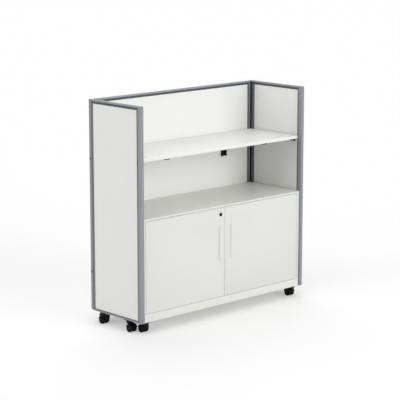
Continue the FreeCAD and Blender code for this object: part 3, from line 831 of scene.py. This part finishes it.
# %% Screws in the ledges
LEDGE_SCREW = 3 * MM
LEDGE_SCREW_HEIGHT = 7 * MM
LEDGE_SCREW_PLACES = (10 * MM, 31 * MM)
for word, facing in (("left", "right"), ("right", "left")):
    low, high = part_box(word + "_wing_shelf_ledge")
    wall = low[X] + SHEET if word == "left" else high[X] - SHEET
    points = [(wall, low[Y] + along, low[Z] + LEDGE_SCREW_HEIGHT) for along in LEDGE_SCREW_PLACES]
    set_screws(word + "_ledge_screws", word + "_wing", BLACK_SCREW, points, facing, LEDGE_SCREW)

# %% [markdown]
# ## Screws of the casters and catches
# A caster under the cupboard has a square plate with a screw in each corner. One under a wing sits on a
# narrow strip with a screw before and behind it. Both are counted from the caster's swivel axis, which
# the frame's joints give. Two screws hold each magnetic catch.

# %% Screws in the caster seats
CASTER_SEAT = 55 * MM
SEAT_SCREW = 3.2 * MM
PLATE_REACH = 16.5 * MM
STRIP_REACH = 28 * MM
CASTERS = [node[:-len("_wheels")] for node in frame["nodes"] if node.endswith("_wheels")]
swivel_places = {joint["child"]: joint["pos_m"] for joint in frame["record"]["behaviour"]["joints"]}
plate_holes = [(dx, dy) for dx in (-PLATE_REACH, PLATE_REACH) for dy in (-PLATE_REACH, PLATE_REACH)]
strip_holes = [(0, -STRIP_REACH), (0, STRIP_REACH)]
for body in ("cabinet", "left_wing", "right_wing"):
    places = [swivel_places[caster + "_caster"] for caster in CASTERS if caster.startswith(body)]
    holes = plate_holes if body == "cabinet" else strip_holes
    points = [(place[X] + dx, place[Y] + dy, CASTER_SEAT) for place in places for dx, dy in holes]
    set_screws(body + "_seat_screws", body, BRIGHT_SCREW, points, "down", SEAT_SCREW)

# %% Screws in the catches
CATCH_SCREW = 2.6 * MM
CATCH_SCREW_PLACES = (8 * MM, 32 * MM)
low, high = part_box("door_catches")
catch_places = [low[X] + along for along in CATCH_SCREW_PLACES]
catch_places += [high[X] - along for along in CATCH_SCREW_PLACES]
catch_points = [(x, (low[Y] + high[Y]) / 2, low[Z]) for x in catch_places]
set_screws("catch_screws", "cabinet", BRIGHT_SCREW, catch_points, "down", CATCH_SCREW)

# %% [markdown]
# ## End caps on the shelf's brackets
# Each bracket is a folded channel, and its open front end would be sharp. A moulded cap slips over it. It
# shows below the shelf as a short dark dash. The pull's rounded rings, at other sizes, make it too.

# %% Bracket caps
CAP_RINGS_MM = [(0.0, 9.0), (0.0, -1.0), (0.3, -1.6), (0.9, -1.9)]
CAP_WALL = 0.8 * MM
CHANNEL = 13 * MM
CAP_CORNER = 1.6 * MM
cap_half = (BRACKET_HALF_WIDTH + CAP_WALL, (CHANNEL + CAP_WALL) / 2)
cap_z = bracket_high[Z] - cap_half[1]
shape = bmesh.new()
for x in bracket_places:
    add_nested_rings(shape, (x, 0, cap_z), cap_half, bracket_low[Y], CAP_RINGS_MM, CAP_CORNER, CAP_CORNER)
seat("shelf_bracket_end_caps", closed_mesh("shelf_bracket_end_caps", shape), "cabinet",
     "moulded_nylon_black")
print("bracket caps:", len(bracket_places))

# %% [markdown]
# ## Caster hubs
# Each twin wheel has a dished hub. A turned cap sits in the dish, with six low ribs round it. The ribs
# repeat about the axle, so a second tree sets blocks on a circle and turns each one to its own angle.

# %% A tree that makes ribs
def rib_tree():
    """Radial ribs on a circle round the Z axis."""
    number = "NodeSocketFloat"
    tree, given = open_tree("hub_ribs", {"Count": "NodeSocketInt", "Mid radius": number, "Length": number,
                                         "Width": number, "Height": number})
    ring = add_node(tree, "GeometryNodeMeshCircle", links={"Vertices": given["Count"],
                                                           "Radius": given["Mid radius"]})
    size = add_node(tree, "ShaderNodeCombineXYZ", links={"X": given["Length"], "Y": given["Width"],
                                                         "Z": given["Height"]})
    block = add_node(tree, "GeometryNodeMeshCube", links={"Size": size.outputs["Vector"]})
    share = add_node(tree, "ShaderNodeMath", {0: 2 * math.pi}, {1: given["Count"]}, operation="DIVIDE")
    index = add_node(tree, "GeometryNodeInputIndex")
    angle = add_node(tree, "ShaderNodeMath", links={0: index.outputs["Index"], 1: share.outputs["Value"]},
                     operation="MULTIPLY")
    about_z = add_node(tree, "ShaderNodeCombineXYZ", links={"Z": angle.outputs["Value"]})
    turn = add_node(tree, "FunctionNodeEulerToRotation", links={"Euler": about_z.outputs["Vector"]})
    copies = add_node(tree, "GeometryNodeInstanceOnPoints",
                      links={"Points": ring.outputs["Mesh"], "Instance": block.outputs["Mesh"],
                             "Rotation": turn.outputs["Rotation"]})
    close_tree(tree, given, copies.outputs["Instances"])
    return tree


RIB_SIZES = {"Count": 6, "Mid radius": 7.4 * MM, "Length": 7 * MM, "Width": 1.6 * MM, "Height": 1.2 * MM}
ribs = grow(rib_tree(), [(0, 0, 0)], {**RIB_SIZES, "Finish": finishes["moulded_nylon_black"]})
print("ribs in a hub:", RIB_SIZES["Count"])

# %% Hub caps
HUB_PROFILE_MM = [(0, 1.1), (2.6, 1.0), (3.4, 0.5), (10.6, 0.3), (11.2, 0.9), (11.7, 0.8), (11.7, 0), (0, 0)]
HUB_DISH = 1.5 * MM
for caster in CASTERS:
    low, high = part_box(caster + "_wheels")
    axle = middle_of(caster + "_wheels")
    shape = bmesh.new()
    for side, face in ((-1, low[X]), (1, high[X])):
        dish = Vector((face - side * HUB_DISH, axle[Y], axle[Z]))
        lathe(shape, HUB_PROFILE_MM, dish, X, side, steps=36)
        rib_middle = dish + Vector((side * RIB_SIZES["Height"] / 2, 0, 0))
        placed = ribs.copy()
        placed.transform(Matrix.Translation(rib_middle) @ Matrix.Rotation(side * QUARTER, 4, "Y"))
        shape.from_mesh(placed)
    seat(caster + "_hub_caps", closed_mesh(caster + "_hub_caps", shape, sharp_degrees=35),
         caster + "_wheel_pair", "moulded_nylon_black")
print("casters with hub caps:", len(CASTERS))

# %% [markdown]
# ## Swivel raceways
# Under its seat a caster turns on a ring of balls, and a drum-shaped cover hides the ring. From the side
# it is the dark mass that fills the space between the wheels and the frame. It is a turned ring round the
# neck, with heights counted from the floor.

# %% Raceway covers
RACEWAY_PROFILE_MM = [(11.5, 43.2), (11.5, 54.2), (17.8, 54.2), (18.6, 53.8), (19.0, 53.0), (19.0, 46.4),
                      (18.2, 44.6), (16.4, 43.4), (14.0, 43.2), (11.5, 43.2)]
for caster in CASTERS:
    place = swivel_places[caster + "_caster"]
    shape = bmesh.new()
    lathe(shape, RACEWAY_PROFILE_MM, (place[X], place[Y], 0), Z, steps=40)
    seat(caster + "_raceway", closed_mesh(caster + "_raceway", shape, sharp_degrees=35), caster + "_caster",
         "moulded_nylon_black")
print("raceways:", len(CASTERS))

# %% [markdown]
# ## Covers over the hinge bolts
# Two small dark bumps show on the outer face of the wing, close to its rear edge. They are domed covers
# over the bolts that go through the post to the hinge. A short profile turned on the lathe makes each one.

# %% Bolt covers
COVER_PROFILE_MM = [(0, 3.4), (3.0, 3.2), (5.4, 2.4), (6.6, 1.2), (7.0, 0.4), (7.0, -0.2), (0, -0.2)]
COVER_FROM_REAR = 9 * MM
COVER_HEIGHTS = (269 * MM, 875 * MM)
for word, side in (("left", -1), ("right", 1)):
    low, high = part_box(word + "_wing_posts")
    face_x = low[X] if word == "left" else high[X]
    shape = bmesh.new()
    for z in COVER_HEIGHTS:
        lathe(shape, COVER_PROFILE_MM, (face_x, high[Y] - COVER_FROM_REAR, z), X, side, steps=32)
    seat(word + "_wing_bolt_covers", closed_mesh(word + "_wing_bolt_covers", shape, sharp_degrees=50),
         word + "_wing", "bolt_cover_grey")
print("bolt covers:", 2 * len(COVER_HEIGHTS))

# %% [markdown]
# ## Stage
# The picture stands on plain white. The floor is a pale matt plane that keeps the soft shadow. A little
# light of its own, only for rays that show it to the camera or in a reflection, lifts it to white where
# nothing shades it. The sky is white to the same rays, and gives all others an even, weaker light.

# %% Floor
FLOOR_RADIUS = 60
FLOOR_SIDES = 64
FLOOR_TONE = "#dfdfdf"
FLOOR_LIFT = 0.315
WHITE = "#ffffff"


def shown_rays(tree, *kinds):
    """One for rays of the given kinds, and nought for all others."""
    path = add_node(tree, "ShaderNodeLightPath").outputs
    shown = path[kinds[0]]
    for kind in kinds[1:]:
        either = add_node(tree, "ShaderNodeMath", links={0: shown, 1: path[kind]}, operation="MAXIMUM")
        shown = either.outputs["Value"]
    return shown


def stage_floor():
    """A wide floor that stays white away from the object."""
    shape = bmesh.new()
    bmesh.ops.create_circle(shape, cap_ends=True, segments=FLOOR_SIDES, radius=FLOOR_RADIUS)
    mesh = bpy.data.meshes.new("floor")
    shape.to_mesh(mesh)
    shape.free()
    material = bpy.data.materials.new("matt_studio_floor")
    material.use_nodes = True
    tree = material.node_tree
    tree.nodes.clear()
    matt = add_node(tree, "ShaderNodeBsdfDiffuse", {"Color": linear(FLOOR_TONE)})
    shown = shown_rays(tree, "Is Camera Ray", "Is Glossy Ray")
    lift = add_node(tree, "ShaderNodeMath", {1: FLOOR_LIFT}, {0: shown}, operation="MULTIPLY")
    glow = add_node(tree, "ShaderNodeEmission", {"Color": linear(WHITE)}, {"Strength": lift.outputs["Value"]})
    both = add_node(tree, "ShaderNodeAddShader", links={0: matt.outputs["BSDF"], 1: glow.outputs["Emission"]})
    add_node(tree, "ShaderNodeOutputMaterial", links={"Surface": both.outputs["Shader"]})
    mesh.materials.append(material)
    loose_object("floor", mesh)


stage_floor()
print("floor is", 2 * FLOOR_RADIUS, "m wide")

# %% Sky
SKY_LIGHT = 0.46


def even_sky():
    """White for rays that show the sky, and a plain level for the light it gives."""
    world = bpy.data.worlds.new("even_sky")
    bpy.context.scene.world = world
    world.use_nodes = True
    tree = world.node_tree
    tree.nodes.clear()
    shown = shown_rays(tree, "Is Camera Ray", "Is Glossy Ray", "Is Transmission Ray")
    light = add_node(tree, "ShaderNodeBackground", {"Color": linear(WHITE), "Strength": SKY_LIGHT})
    white = add_node(tree, "ShaderNodeBackground", {"Color": linear(WHITE), "Strength": 1.0})
    mixed = add_node(tree, "ShaderNodeMixShader", links={0: shown, 1: light.outputs["Background"],
                                                         2: white.outputs["Background"]})
    add_node(tree, "ShaderNodeOutputWorld", links={"Surface": mixed.outputs["Shader"]})


even_sky()
bpy.context.scene.view_settings.view_transform = "Standard"
print("sky gives", SKY_LIGHT, "of full light")

# %% [markdown]
# ## Lamps
# Four wide lamps shape the white boards. The strongest stands low in front and reaches under the shelf.
# Two weaker ones stand high and low on the left, and one behind on the right lights the tops. Their
# strengths were matched to the tones of the photograph, one lamp at a time. Suns with a broad angle were
# chosen, because their light is as even over the whole object as that of a large soft box.

# %% Four lamps
def wide_lamp(name, towards, strength, spread_degrees):
    """A soft lamp far away, shining from the given direction."""
    lamp = bpy.data.lights.new(name, "SUN")
    lamp.energy = strength
    lamp.angle = math.radians(spread_degrees)
    thing = loose_object(name, lamp)
    thing.rotation_euler = Vector(towards).to_track_quat("Z", "Y").to_euler()


# Where the lamp stands as seen from the object, its strength, and its spread in degrees
LAMPS = {
    "low_front_lamp": ((0.18, -1.0, 0.12), 1.95, 48),
    "high_left_lamp": ((-1.0, -0.4, 1.2), 0.57, 50),
    "low_left_lamp": ((-1.0, 0.2, 0.12), 0.76, 30),
    "rear_right_lamp": ((0.35, 0.6, 1.0), 0.75, 40),
}
for name, setting in LAMPS.items():
    wide_lamp(name, *setting)
print("lamps:", len(LAMPS))

# %% [markdown]
# ## Camera
# The camera stands where the photograph was taken from: to the left of the front and a little above. Its
# place and lens were fitted to the frame's edges and corners. A long lens from far away keeps the upright
# edges nearly parallel.

# %% Camera
CAMERA_PLACE_MM = (-5771.2, -6131.8, 2278.0)
CAMERA_YAW = math.radians(43.275)
CAMERA_PITCH = math.radians(11.266)
LENS_MM = 142.5
SENSOR_MM = 36
CLIP_END = 200
camera = bpy.data.cameras.new("photo_camera")
camera.lens = LENS_MM
camera.sensor_width = SENSOR_MM
camera.clip_end = CLIP_END
viewpoint = loose_object("photo_camera", camera)
viewpoint.location = Vector(CAMERA_PLACE_MM) * MM
viewpoint.rotation_euler = (QUARTER - CAMERA_PITCH, 0, -CAMERA_YAW)
bpy.context.scene.camera = viewpoint
print("camera stands", round(viewpoint.location.length, 2), "m from the object's middle on the floor")
